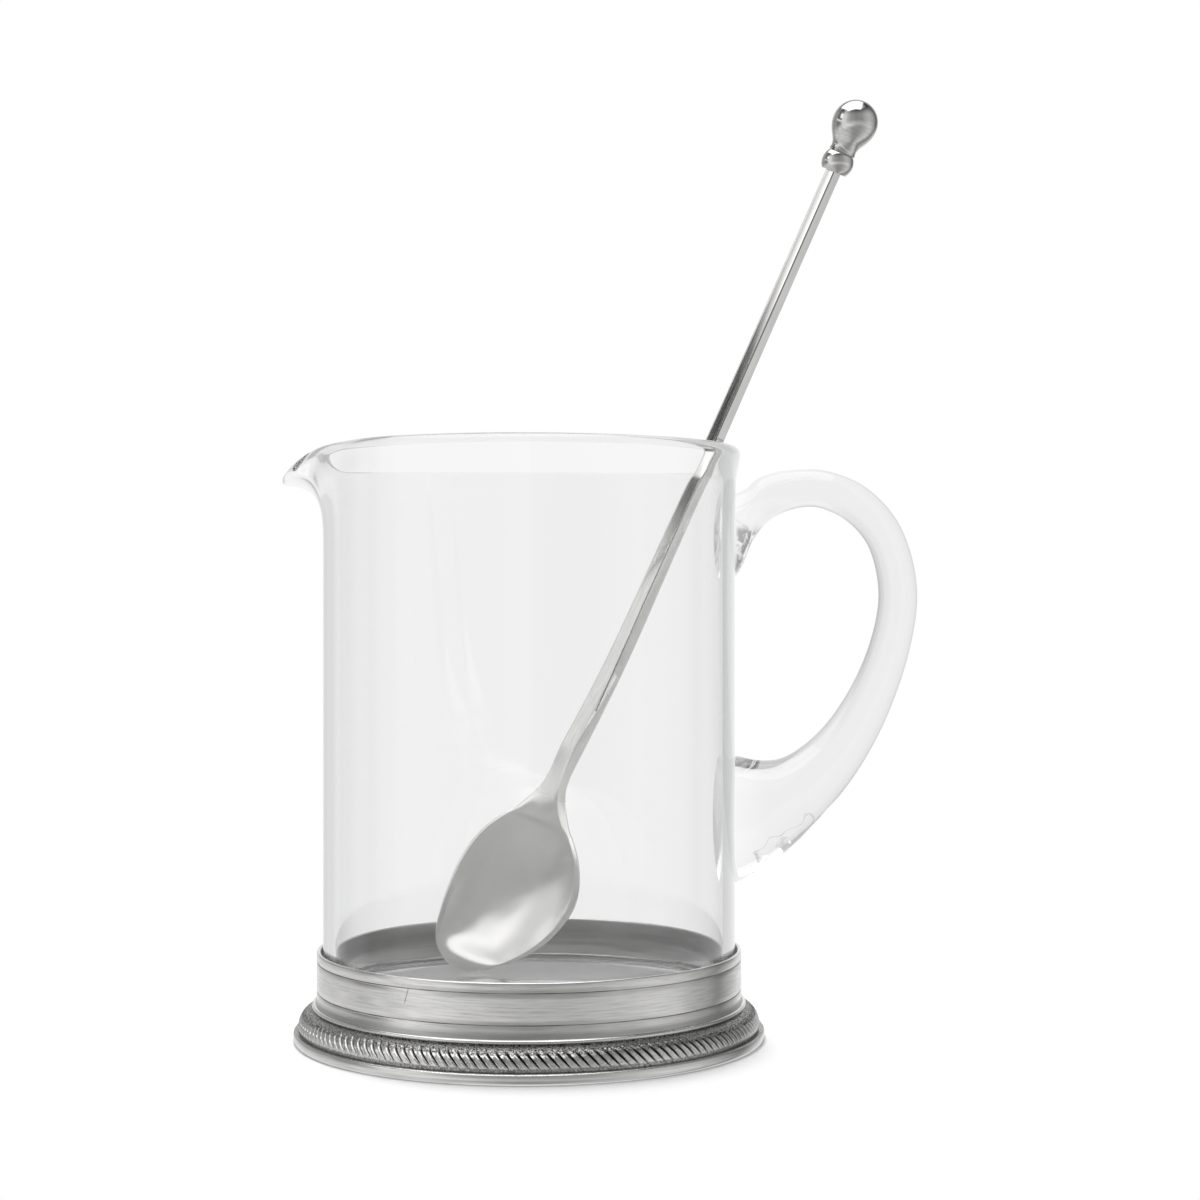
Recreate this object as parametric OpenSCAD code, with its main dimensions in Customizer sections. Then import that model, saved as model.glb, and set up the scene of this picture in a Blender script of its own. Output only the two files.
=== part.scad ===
// Glass cocktail pitcher standing in a pewter base, with its pewter mixing spoon.
// Millimetres, +Z up, origin on the glass axis at the plane the foot rests on.
// The spout points to -X and the handle to +X.

/* [Glass vessel] */
// Height of the rim above the table
pitcher_h = 149; // [135:1:165]
// Outer diameter of the glass cylinder
glass_d = 104; // [94:1:114]
// Thickness of the glass wall
glass_wall = 3; // [2.4:0.1:3.6]
// Thickness of the glass floor
glass_floor = 5.5; // [4:0.5:7]
// Radius of the fire-polished bead along the rim
rim_bead_r = 2.1; // [1.9:0.1:2.4]

/* [Spout] */
// How far the spout reaches out from the cylinder
spout_reach = 10.5; // [7:0.5:13]
// How far the tip of the spout hangs below the rim
spout_drop = 5.9; // [3:0.1:8]
// Height over which the wall turns out into the spout
throat_h = 23; // [18:1:30]

/* [Handle] */
// How far the handle reaches out from the cylinder
handle_reach = 46.8; // [40:0.5:54]
// Height from the lowest point of the handle to its top
handle_h = 105; // [90:1:110]
// Height of the lowest point of the handle above the table
handle_low_z = 38.6; // [32:1:44]
// Thickness of the handle where a finger lies round it
handle_thick = 9.8; // [8:0.2:12]
// Width of the handle seen from its back
handle_w = 12; // [10:0.5:15]

/* [Base band] */
// Height of the band above the foot
band_h = 13; // [10:0.5:18]
// Thickness of the band
band_wall = 1; // [0.8:0.1:1.4]
// Gap between the band and the glass
band_gap = 0.5; // [0.3:0.1:0.8]
// Depth of the two turned lines
line_depth = 0.15; // [0.1:0.05:0.3]

/* [Foot] */
// How far the polished lip of the foot stands out beyond the band
foot_out = 5.9; // [5.4:0.1:7]
// Height of the foot
foot_h = 9.5; // [9:0.1:11]
// Thickness of the floor disc
disc_t = 1.2; // [0.8:0.1:1.6]
// Thickness of the bedding between the disc and the glass
bedding_t = 0.3; // [0.2:0.1:0.6]
// Number of flutes cut round the rope moulding
flutes = 155; // [120:1:165]
// Radius of the cutter that makes a flute
flute_r = 0.42; // [0.3:0.02:0.5]

/* [Mixing spoon] */
// Overall length of the spoon
spoon_len = 240; // [225:1:260]
// Length of the bowl
bowl_len = 49.5; // [42:0.5:54]
// Width of the bowl
bowl_w = 32.4; // [28:0.4:34]
// Depth of the hollow in the bowl
bowl_depth = 6.5; // [5:0.5:8]
// Thickness of the bowl
bowl_wall = 1.2; // [0.9:0.1:1.6]
// Corner to corner width of the square stem at its top
stem_top_w = 3.7; // [3:0.1:4.4]
// Corner to corner width of the square stem at the neck
stem_neck_w = 6.2; // [5.6:0.2:7.4]
// Diameter of the knob
knob_d = 11; // [9:0.2:13]
// Diameter of the collar under the knob
collar_d = 7.8; // [7:0.2:9]
// Height of the knob and its collar together
finial_h = 18.2; // [17:0.1:22]
// Lean of the stem from upright, towards the handle
spoon_lean = 23.3; // [20:0.1:25]
// Lean of the stem towards the front
spoon_forward = 11.5; // [4:0.5:13]

/* [Hidden] */
$fn = 96;

// Clearance left between pieces that don't touch
clear = 0.3;
// Overrun of every cut past the face it leaves
cut_over = 1;

// Stack of the base, from the table upwards
glass_r = glass_d / 2;
band_in_r = glass_r + band_gap;
band_r = band_in_r + band_wall;
band_flare = 0.4;
foot_r = band_r + foot_out;
socket_r = band_in_r + clear / 3;
ledge_z = 0.63 * foot_h;
disc_r = socket_r - clear;
glass_z = ledge_z + disc_t + bedding_t;
floor_z = glass_z + glass_floor;
band_top_z = foot_h + band_h;

// Cubic curve through its four control points
function bezier(p, t) =
    pow(1 - t, 3) * p[0] + 3 * t * pow(1 - t, 2) * p[1]
    + 3 * t * t * (1 - t) * p[2] + pow(t, 3) * p[3];
function bezier_slope(p, t) =
    pow(1 - t, 2) * (p[1] - p[0]) + 2 * t * (1 - t) * (p[2] - p[1])
    + t * t * (p[3] - p[2]);
function unit(v) = v / norm(v);
function ease(t) = t * t * (3 - 2 * t);
function mix(a, b, t) = a + (b - a) * t;

// Smooth curve through the rows of a table, read at row number s
function row(table, i) = table[max(0, min(len(table) - 1, i))];
function spline(table, s) =
    let (i = min(floor(s), len(table) - 2), t = s - i)
    let (a = row(table, i - 1), b = row(table, i))
    let (c = row(table, i + 1), d = row(table, i + 2))
    b + (c - a) * t / 2 + (a - 2.5 * b + 2 * c - d / 2) * t * t
    + (b * 1.5 - a / 2 - c * 1.5 + d / 2) * t * t * t;

// Closed skin over a row of loops that all have the same number of points
function middle(loop) = [for (axis = [0 : 2]) sum([for (p = loop) p[axis]]) / len(loop)];
function sum(list, i = 0) = i < len(list) ? list[i] + sum(list, i + 1) : 0;
module skin(loops) {
    count = len(loops[0]);
    start = (len(loops) - 1) * count;
    points = concat([for (loop = loops) each loop], [middle(loops[0]), middle(loops[len(loops) - 1])]);
    faces = [
        for (i = [0 : count - 1])
            let (next = (i + 1) % count)
            each concat(
                [[i, next, start + count]],
                [
                    for (j = [0 : count : start - count])
                        each [[i + j, i + j + count, next + j], [next + j, i + j + count, next + j + count]]
                ],
                [[start + next, start + i, start + count + 1]]
            )
    ];
    polyhedron(points, faces, convexity = 10);
}

// Glass vessel

// Radii of the outer foot corner and of the corner round the floor inside
heel_r = 3;
inner_corner_r = 6;
wall_mid_r = glass_r - glass_wall / 2;
// The bead stands a little proud of the wall outside
rim_mid_r = glass_r - glass_wall + rim_bead_r + 0.1 * rim_bead_r;
rim_mid_z = pitcher_h - rim_bead_r;
throat_z = rim_mid_z - throat_h;
// Angle over which the spout dies out into the round wall
spout_spread = 12;
// The shoulders beside the spout are nipped in by this much, at this angle
nip = 0.8;
nip_angle = 27;
around = 72;
wall_steps = [0, 0.25, 0.45, 0.6, 0.72, 0.82, 0.91, 1];
bead_turns = [30, 60, 90, 120, 150];
heel_turns = [0, 30, 60, 90];

function bell(angle) = exp(-pow(angle / spout_spread, 2));
// Angles lie closer together round the spout, at half a turn
function ring_angle(i) = let (u = 360 * i / around) u + 28 * sin(u);
// Distance from the axis at which the middle of the bead runs
function bead_r_at(a) =
    rim_mid_r + bell(a - 180) * (glass_r + spout_reach - rim_bead_r - rim_mid_r)
    - nip * (bell(a - 180 - nip_angle) + bell(a - 180 + nip_angle));
function bead_z_at(a) = rim_mid_z - spout_drop * pow(bell(a - 180), 1.7);
// Middle line of the wall from the throat up to the bead, as [radius, height]
function throat_curve(a) = [
    [wall_mid_r, throat_z],
    [wall_mid_r, throat_z + 0.43 * throat_h],
    [mix(wall_mid_r, bead_r_at(a), 0.1), mix(rim_mid_z - 0.25 * throat_h, bead_z_at(a), bell(a - 180))],
    [bead_r_at(a), bead_z_at(a)]
];
function wall_half(t) = mix(glass_wall / 2, rim_bead_r, ease(max(0, (t - 0.6) / 0.4)));
function wall_point(a, t, side) =
    let (along = unit(bezier_slope(throat_curve(a), t)))
    bezier(throat_curve(a), t) + side * wall_half(t) * [along.y, -along.x];
function bead_point(a, turn) =
    let (along = unit(bezier_slope(throat_curve(a), 1)))
    [bead_r_at(a), bead_z_at(a)]
    + rim_bead_r * (cos(turn) * [along.y, -along.x] + sin(turn) * along);

// Whole section at one angle, from the underside over the rim to the floor
function vessel_section(a) = concat(
    [for (h = heel_turns) [glass_r - heel_r + heel_r * sin(h), glass_z + heel_r - heel_r * cos(h)]],
    [for (t = wall_steps) wall_point(a, t, 1)],
    [for (turn = bead_turns) bead_point(a, turn)],
    [for (i = [len(wall_steps) - 1 : -1 : 0]) wall_point(a, wall_steps[i], -1)],
    [
        for (i = [len(heel_turns) - 1 : -1 : 0])
            [glass_r - glass_wall - inner_corner_r + inner_corner_r * sin(heel_turns[i]),
             floor_z + inner_corner_r - inner_corner_r * cos(heel_turns[i])]
    ]
);

module glass_vessel() {
    sections = [for (i = [0 : around - 1]) vessel_section(ring_angle(i))];
    rings = [
        for (j = [0 : len(sections[0]) - 1])
            [
                for (i = [0 : around - 1])
                    let (a = ring_angle(i), p = sections[i][j])
                    [p.x * cos(a), p.x * sin(a), p.y]
            ]
    ];
    color("lightcyan", 0.5) skin(rings);
}

// Glass handle

// Rows from the upper root to the lower root. Each holds the middle of the strap as shares of
// the reach and of the height, the half thickness and half width as shares of thickness and
// width, and the slope of the section in degrees over 90.
handle_shares = [
    [-0.050, 0.822, 1.20, 0.80, 1.00],
    [0.042, 0.853, 1.05, 0.70, 0.97],
    [0.135, 0.909, 0.82, 0.58, 0.91],
    [0.274, 0.944, 0.62, 0.52, 0.81],
    [0.470, 0.952, 0.51, 0.50, 0.73],
    [0.669, 0.915, 0.50, 0.49, 0.56],
    [0.825, 0.833, 0.49, 0.49, 0.34],
    [0.893, 0.706, 0.50, 0.50, 0.03],
    [0.850, 0.573, 0.52, 0.51, -0.15],
    [0.733, 0.437, 0.59, 0.54, -0.26],
    [0.575, 0.321, 0.71, 0.60, -0.50],
    [0.378, 0.229, 0.93, 0.68, -0.73],
    [0.186, 0.174, 1.31, 0.77, -0.91],
    [-0.050, 0.151, 1.74, 0.84, -1.00]
];
handle_sides = 20;
handle_steps = 3;

function handle_loop(s) =
    let (row = spline(handle_shares, s), slope = 90 * row[4])
    let (x = glass_r + row[0] * handle_reach, z = handle_low_z + row[1] * handle_h)
    let (half_t = row[2] * handle_thick, half_w = row[3] * handle_w)
    [
        for (i = [0 : handle_sides - 1])
            let (a = 360 * i / handle_sides)
            [x + half_t * cos(a) * cos(slope), half_w * sin(a), z + half_t * cos(a) * sin(slope)]
    ];

module glass_handle() {
    stations = (len(handle_shares) - 1) * handle_steps;
    color("lightcyan", 0.5)
    difference() {
        skin([for (i = [0 : stations]) handle_loop(i / handle_steps)]);
        cylinder(r = glass_r, h = pitcher_h);
    }
}

// Base band

band_round = band_wall / 2;
line_w = 0.5;
upper_line_z = band_top_z - 2.5;
lower_line_z = foot_h + 3.1;

module turned_line(z) {
    polygon([
        [band_r - line_depth, z],
        [band_r + line_depth, z - line_w],
        [band_r + line_depth, z + line_w]
    ]);
}

module base_band() {
    color("silver")
    rotate_extrude()
    difference() {
        union() {
            translate([band_in_r, foot_h])
            square([band_wall, band_h - band_round]);
            translate([band_in_r + band_round, band_top_z - band_round])
            circle(r = band_round);
            polygon([
                [band_in_r, foot_h],
                [band_r + band_flare, foot_h],
                [band_r + band_flare / 3, mix(foot_h, lower_line_z, 0.4)],
                [band_r, lower_line_z],
                [band_in_r, lower_line_z]
            ]);
        }
        turned_line(upper_line_z);
        turned_line(lower_line_z);
    }
}

// Foot ring

foot_inner_r = glass_r - 1.5;
bead_r = 0.65;
bead_mid_r = band_r + band_flare + bead_r / 4;
bead_mid_z = foot_h - bead_r;
// The rope moulding is a shallow round face struck from a centre inside the foot
rope_r = 4.7;
rope_mid_z = 3.7;
rope_low_z = 3.45;
rope_high_z = 7.55;
// The lip has a small round above and a larger one below
lip_top_r = 0.7;
lip_low_r = 1.2;
lip_h = 2.7;
rope_mid_r = foot_r - lip_low_r - rope_r;
// A flute lies slanted across the rope, deepest at its middle
flute_face = 26;
flute_slant = 43;
flute_sink = 0.08;
flute_len = 8;

// Distance from the axis of the rope's face at a height
function rope_face_r(z) = rope_mid_r + sqrt(rope_r * rope_r - pow(z - rope_mid_z, 2));

module foot_profile() {
    polygon([
        [foot_inner_r, 0],
        [foot_r - lip_low_r, 0],
        [foot_r - lip_low_r, lip_h],
        [rope_face_r(rope_low_z) - clear, rope_low_z],
        [rope_face_r(rope_high_z) - clear, rope_high_z],
        [bead_mid_r, foot_h - 2 * bead_r],
        [bead_mid_r, foot_h],
        [socket_r, foot_h],
        [socket_r, ledge_z],
        [foot_inner_r, ledge_z]
    ]);
    translate([bead_mid_r, bead_mid_z])
    circle(r = bead_r);
    translate([foot_r - lip_top_r, lip_h - lip_top_r])
    circle(r = lip_top_r);
    translate([foot_r - lip_low_r, lip_low_r])
    circle(r = lip_low_r);
    translate([foot_r - lip_low_r, lip_low_r])
    square([lip_low_r, lip_h - lip_top_r - lip_low_r]);
    translate([foot_r - lip_low_r - clear, lip_low_r])
    square([lip_low_r + clear - lip_top_r, lip_h - lip_low_r]);
    intersection() {
        translate([rope_mid_r, rope_mid_z])
        circle(r = rope_r);
        translate([rope_mid_r, rope_low_z])
        square([rope_r, rope_high_z - rope_low_z]);
    }
}

module flute() {
    translate([rope_mid_r, 0, rope_mid_z])
    rotate([0, -flute_face, 0])
    translate([rope_r - flute_sink, 0, 0])
    rotate([flute_slant, 0, 0])
    cylinder(r = flute_r, h = flute_len, center = true);
}

module foot_ring() {
    color("silver")
    difference() {
        rotate_extrude() foot_profile();
        for (i = [0 : flutes - 1])
            rotate(i * 360 / flutes) flute();
    }
}

// Floor disc and bedding

bedding_r = glass_r - 2 * heel_r;

module base_disc() {
    color("gray")
    translate([0, 0, ledge_z])
    cylinder(r = disc_r, h = disc_t);
}

module bedding_pad() {
    color("gainsboro")
    translate([0, 0, ledge_z + disc_t])
    cylinder(r = bedding_r, h = bedding_t);
}

// Mixing spoon, drawn upright with the tip of its bowl at the origin

// Rows from the tip to the neck: place as a share of the bowl's length, half width as a share
// of half the bowl's width, and depth of the hollow as a share of its full depth.
bowl_shares = [
    [0.000, 0.20, 0.00],
    [0.015, 0.37, 0.06],
    [0.050, 0.55, 0.20],
    [0.110, 0.72, 0.42],
    [0.180, 0.84, 0.62],
    [0.270, 0.93, 0.81],
    [0.370, 0.985, 0.94],
    [0.470, 1.00, 1.00],
    [0.570, 0.98, 0.98],
    [0.670, 0.90, 0.84],
    [0.760, 0.77, 0.62],
    [0.840, 0.60, 0.38],
    [0.910, 0.43, 0.14]
];
// Rows up the stem, as shares of the length between the neck and the finial
stem_shares = [0, 0.06, 0.14, 0.24, 0.38, 0.56, 0.76, 1];
collar_h = 0.69 * collar_d;
plug_h = 0.8 * collar_h;
neck_z = 1.08 * bowl_len;
stem_top_z = spoon_len - finial_h + plug_h;
// The blade is set over towards the spout by these shares, row by row from its tip upwards
set_over = 0.045 * bowl_len;
set_step = 0.25 * bowl_len;
set_shares = [1, 0.6, 0.3, 0.4, 0.75, 0.75, 0.4, 0.13, 0, 0];
// Flat left along the sharp corners of the stem
corner_flat = 0.1 * stem_top_w;
blade_cuts = 12;

function blade_set(z) = -set_over * spline(set_shares, min(len(set_shares) - 1, z / set_step));
function stem_half(z) =
    let (u = (stem_top_z - z) / (stem_top_z - neck_z))
    mix(stem_top_w, stem_neck_w, pow(max(0, u), 1.8)) / 2;

// One section: front from left to right, then back from right to left
function blade_loop(z, half_w, front, back, edge, power) =
    let (rise = function (s) 1 - pow(abs(s), power))
    let (steps = [for (i = [0 : blade_cuts]) -1 + 2 * i / blade_cuts])
    concat(
        [for (s = steps) [blade_set(z) + half_w * s, mix(-edge / 2, front, rise(s)), z]],
        [for (s = steps) [blade_set(z) - half_w * s, mix(edge / 2, back, rise(s)), z]]
    );
function bowl_loop(row) =
    let (hollow = row[2] * bowl_depth)
    blade_loop(
        row[0] * bowl_len, row[1] * bowl_w / 2,
        hollow - bowl_wall / 2, hollow + bowl_wall / 2, bowl_wall, 2.2
    );
function stem_loop(share) =
    let (z = mix(neck_z, stem_top_z, share), half = stem_half(z))
    blade_loop(z, half, -half, half, corner_flat, 1);
blade_loops = concat(
    [for (row = bowl_shares) bowl_loop(row)],
    [for (share = stem_shares) stem_loop(share)]
);

// The spoon leans on the rim bead and its bowl stands just clear of the floor
function leaned(p) =
    let (y = p.y * cos(spoon_forward) - p.z * sin(spoon_forward))
    let (z = p.y * sin(spoon_forward) + p.z * cos(spoon_forward))
    [p.x * cos(spoon_lean) + z * sin(spoon_lean), y, z * cos(spoon_lean) - p.x * sin(spoon_lean)];
spoon_lift_z = floor_z + clear - min([for (loop = blade_loops, p = loop) leaned(p).z]);
rest_y = -0.265 * glass_r;
rest_gap = rim_bead_r + clear + stem_half(pitcher_h / cos(spoon_lean));
rest_x = sqrt(rim_mid_r * rim_mid_r - rest_y * rest_y) - rest_gap * cos(spoon_lean);
rest_z = rim_mid_z + rest_gap * sin(spoon_lean) - spoon_lift_z;
spoon_x = rest_x - rest_z * tan(spoon_lean);
spoon_y = rest_y + rest_z * tan(spoon_forward) / cos(spoon_lean);

module spoon_place() {
    translate([spoon_x, spoon_y, spoon_lift_z])
    rotate([spoon_forward, spoon_lean, 0])
    children();
}

module spoon() {
    color("silver")
    spoon_place()
    skin(blade_loops);
}

// Finial

neck_r = 0.24 * knob_d;
knob_r = knob_d / 2;
knob_mid = finial_h - knob_r;
flank = [
    [neck_r, collar_h],
    [neck_r, mix(collar_h, knob_mid, 0.35)],
    [knob_r, mix(collar_h, knob_mid, 0.5)],
    [knob_r, knob_mid]
];
flank_cuts = 8;
plug_bore_r = stem_top_w / 2 + clear / 2;

module finial_profile() {
    intersection() {
        translate([0, collar_h / 2])
        circle(r = collar_d / 2);
        square([collar_d, collar_h]);
    }
    polygon(concat(
        [[0, collar_h / 2], [neck_r, collar_h / 2]],
        [for (i = [0 : flank_cuts]) bezier(flank, i / flank_cuts)],
        [[0, knob_mid]]
    ));
    intersection() {
        translate([0, knob_mid])
        circle(r = knob_r);
        translate([0, knob_mid])
        square([knob_r, knob_r]);
    }
}

module spoon_finial() {
    color("silver")
    spoon_place()
    translate([0, 0, spoon_len - finial_h])
    difference() {
        rotate_extrude() finial_profile();
        translate([0, 0, -cut_over])
        cylinder(r = plug_bore_r, h = plug_h + cut_over);
    }
}

glass_vessel();
glass_handle();
base_band();
foot_ring();
base_disc();
bedding_pad();
spoon();
spoon_finial();
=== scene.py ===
# %% [markdown]
# # A glass cocktail pitcher in a pewter base
# This notebook dresses a finished construction model. The solids come in with one call and
# are never changed. Where a solid already has the right surface it only gets a finish. Where
# the light needs a smoother or finer surface, a new piece takes the solid's place.
# All lengths are metres, Z is up, the spout points to -X and the handle to +X.

import math

import bpy
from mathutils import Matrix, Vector


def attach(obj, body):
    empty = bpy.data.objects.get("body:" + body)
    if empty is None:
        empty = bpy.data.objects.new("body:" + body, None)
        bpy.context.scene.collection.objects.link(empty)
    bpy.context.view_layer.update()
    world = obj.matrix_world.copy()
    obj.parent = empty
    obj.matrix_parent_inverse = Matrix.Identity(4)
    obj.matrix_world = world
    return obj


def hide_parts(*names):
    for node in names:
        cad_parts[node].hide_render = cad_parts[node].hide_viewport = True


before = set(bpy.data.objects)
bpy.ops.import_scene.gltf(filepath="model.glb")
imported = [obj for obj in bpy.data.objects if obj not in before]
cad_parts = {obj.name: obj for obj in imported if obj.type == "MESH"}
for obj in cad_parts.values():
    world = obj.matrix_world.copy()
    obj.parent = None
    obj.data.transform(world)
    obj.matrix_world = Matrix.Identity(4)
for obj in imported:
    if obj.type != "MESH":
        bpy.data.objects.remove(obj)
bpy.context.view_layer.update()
MM = 0.001
scene = bpy.context.scene
print("solids:", ", ".join(sorted(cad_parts)))

# %% [markdown]
# ## Sizes
# The solids were made with the same sizes, and the new pieces have to lie exactly on them.

# %% Sizes in millimetres
PITCHER_H = 149.0
GLASS_R = 52.0
GLASS_WALL = 3.0
GLASS_Z = 7.485
GLASS_FLOOR = 5.5
FLOOR_Z = GLASS_Z + GLASS_FLOOR
BEAD_R = 2.1
SPOUT_REACH = 10.5
SPOUT_DROP = 5.9
THROAT_H = 23.0
HANDLE_REACH = 46.8
HANDLE_H = 105.0
HANDLE_LOW = 38.6
HANDLE_THICK = 9.8
HANDLE_W = 12.0
FOOT_R = 59.4
FOOT_H = 9.5
BAND_TOP = 22.5
BAND_IN_R = 52.5
BAND_R = 53.5
LINE_HIGH = BAND_TOP - 2.5
LINE_LOW = FOOT_H + 3.1
FLUTES = 155
print("rim at", PITCHER_H, "mm, foot", 2 * FOOT_R, "mm across")


# %% [markdown]
# ## Helpers
# An operator works on all that is selected. One helper leaves nothing selected, the other
# selects a single piece and makes it the active one. Points closer than MERGE become one.

# %% Select nothing, or one piece
MERGE = 0.002 * MM


def start_clean():
    if bpy.context.object is not None and bpy.context.object.mode != "OBJECT":
        bpy.ops.object.mode_set(mode="OBJECT")
    bpy.ops.object.select_all(action="DESELECT")


def pick(piece):
    start_clean()
    piece.select_set(True)
    bpy.context.view_layer.objects.active = piece


# %% [markdown]
# Glass and cast pieces are skins over a row of sections. A flat grid is the easiest start: each
# row of the grid is moved on to one section, and then the seam is merged.

# %% Wrap a grid round a row of sections
def wrap_grid(name, sections):
    rows, count = len(sections), len(sections[0])
    start_clean()
    bpy.ops.mesh.primitive_grid_add(x_subdivisions=count, y_subdivisions=rows - 1, size=1)
    piece = bpy.context.object
    piece.name = piece.data.name = name
    for v in piece.data.vertices:
        i = round((v.co.x + 0.5) * count) % count
        j = round((v.co.y + 0.5) * (rows - 1))
        v.co = Vector(sections[j][i]) * MM
    bpy.ops.object.mode_set(mode="EDIT")
    bpy.ops.mesh.select_all(action="SELECT")
    bpy.ops.mesh.remove_doubles(threshold=MERGE)
    bpy.ops.mesh.normals_make_consistent(inside=False)
    bpy.ops.object.mode_set(mode="OBJECT")
    return piece


# %% [markdown]
# Pewter bands, feet and knobs are turned on a lathe. Here the outline is drawn with one vertex
# that is extruded from point to point, and the spin tool plays the lathe.

# %% Turn an outline round the Z axis
def turn_on_lathe(name, outline, steps, closed=True):
    points = [Vector((r, 0.0, z)) * MM for r, z in outline]
    if closed:
        points.append(points[0])
    start_clean()
    bpy.ops.mesh.primitive_plane_add(size=MM, location=(0, 0, 0))
    piece = bpy.context.object
    piece.name = piece.data.name = name
    bpy.ops.object.mode_set(mode="EDIT")
    bpy.ops.mesh.merge(type="CENTER")
    bpy.ops.transform.translate(value=points[0])
    for here, there in zip(points, points[1:]):
        bpy.ops.mesh.extrude_vertices_move(TRANSFORM_OT_translate={"value": there - here})
    bpy.ops.mesh.select_all(action="SELECT")
    bpy.ops.mesh.remove_doubles(threshold=MERGE)
    bpy.ops.mesh.select_all(action="SELECT")
    bpy.ops.mesh.spin(steps=steps, angle=2 * math.pi, center=(0, 0, 0), axis=(0, 0, 1))
    bpy.ops.mesh.select_all(action="SELECT")
    bpy.ops.mesh.remove_doubles(threshold=MERGE)
    bpy.ops.mesh.normals_make_consistent(inside=False)
    bpy.ops.object.mode_set(mode="OBJECT")
    return piece


# %% [markdown]
# Every finished piece is shaded smooth, with a limit angle so that real edges stay crisp. The
# same call says which body the piece rides on, which solid it stands for and its finish.

# %% Finish a piece
def finish_piece(piece, body, solids, material, angle=30):
    pick(piece)
    bpy.ops.object.shade_smooth_by_angle(angle=math.radians(angle))
    piece.data.materials.clear()
    piece.data.materials.append(material)
    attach(piece, body)
    for solid in solids if isinstance(solids, tuple) else (solids,):
        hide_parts(solid)
    print(piece.name, len(piece.data.vertices), "vertices")


# %% [markdown]
# Soft shapes come from a few curves. mix runs straight from one value to another, and ease
# starts and ends gently. A Bezier curve is steered by four points, and its slope tells which way
# is outwards. The spline runs smoothly through the rows of a table.

# %% Curves
def mix(a, b, t):
    return a + (b - a) * t


def ease(t):
    t = min(1.0, max(0.0, t))
    return t * t * (3 - 2 * t)


def bezier(p, t):
    s = 1 - t
    return [
        s**3 * a + 3 * t * s * s * b + 3 * t * t * s * c + t**3 * d for a, b, c, d in zip(*p)
    ]


def bezier_slope(p, t):
    s = 1 - t
    v = [
        s * s * (b - a) + 2 * t * s * (c - b) + t * t * (d - c) for a, b, c, d in zip(*p)
    ]
    size = math.hypot(*v)
    return [v[0] / size, v[1] / size]


def spline(table, s):
    i = min(int(s), len(table) - 2)
    t = s - i
    a, b, c, d = (table[max(0, min(len(table) - 1, i + k))] for k in (-1, 0, 1, 2))
    return [
        q + (r - p) * t / 2 + (p - 2.5 * q + 2 * r - u / 2) * t * t
        + (q * 1.5 - p / 2 - r * 1.5 + u / 2) * t**3
        for p, q, r, u in zip(a, b, c, d)
    ]


# %% [markdown]
# ## Camera
# The camera is level, at about three quarters of the height of the glass, and turned a little
# to the right. It was fitted to the ellipses of rim, band and foot.

# %% Camera
CAMERA_AT = (0, -0.5595, 0.11036)
CAMERA_TURN = -0.0319
bpy.ops.object.camera_add(location=CAMERA_AT, rotation=(math.radians(90), 0, CAMERA_TURN))
camera = bpy.context.object
camera.name = "camera"
camera.data.lens = 66.15
camera.data.sensor_width = 36
camera.data.clip_start = 0.01
scene.camera = camera
scene.view_settings.view_transform = "Standard"
print("camera at", tuple(round(v, 4) for v in camera.location))


# %% [markdown]
# ## Node helpers
# A material is a small network of nodes. The first helpers start a material, add a node with its
# sockets set by name, take a place apart and mix two shaders, so each finish below reads like a
# recipe.

# %% Materials and nodes
def new_material(name):
    material = bpy.data.materials.new(name)
    material.use_nodes = True
    material.node_tree.nodes.clear()
    return material, material.node_tree


def node(tree, kind, **sockets):
    n = tree.nodes.new("ShaderNode" + kind)
    for key, value in sockets.items():
        if hasattr(n, key):
            setattr(n, key, value)
        else:
            n.inputs[key.replace("_", " ")].default_value = value
    return n


def axes_of(tree, place):
    split = node(tree, "SeparateXYZ")
    tree.links.new(place, split.inputs[0])
    return split.outputs


def mix_shaders(tree, factor, other, chosen):
    n = node(tree, "MixShader")
    for socket, value in zip(n.inputs, (factor, other, chosen)):
        tree.links.new(value, socket)
    return n.outputs[0]


def show(tree, surface):
    tree.links.new(surface, node(tree, "OutputMaterial").inputs[0])


# %% [markdown]
# Numbers and colours are worked out by nodes too. math_node counts with two values, product and
# largest join several masks, ramp turns a value into a brightness, and blend_colours lays one
# colour over another.

# %% Numbers and colours
def math_node(tree, operation, a, b=0.0, clamp=False):
    n = tree.nodes.new("ShaderNodeMath")
    n.operation = operation
    n.use_clamp = clamp
    for socket, value in zip(n.inputs, (a, b)):
        if isinstance(value, (int, float)):
            socket.default_value = value
        else:
            tree.links.new(value, socket)
    return n.outputs[0]


def product(tree, *factors):
    result = factors[0]
    for factor in factors[1:]:
        result = math_node(tree, "MULTIPLY", result, factor)
    return result


def largest(tree, *factors):
    result = factors[0]
    for factor in factors[1:]:
        result = math_node(tree, "MAXIMUM", result, factor)
    return result


def grey(level):
    return (level, level, level)


def ramp(tree, factor, stops, interpolation="LINEAR"):
    n = tree.nodes.new("ShaderNodeValToRGB")
    stripes = n.color_ramp
    stripes.interpolation = interpolation
    stripes.elements.remove(stripes.elements[1])
    stripes.elements[0].position = stops[0][0]
    for k, (place, level) in enumerate(stops):
        stop = stripes.elements[0] if k == 0 else stripes.elements.new(place)
        stop.color = (*(level if isinstance(level, tuple) else grey(level)), 1)
    tree.links.new(factor, n.inputs[0])
    return n.outputs[0]


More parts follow.
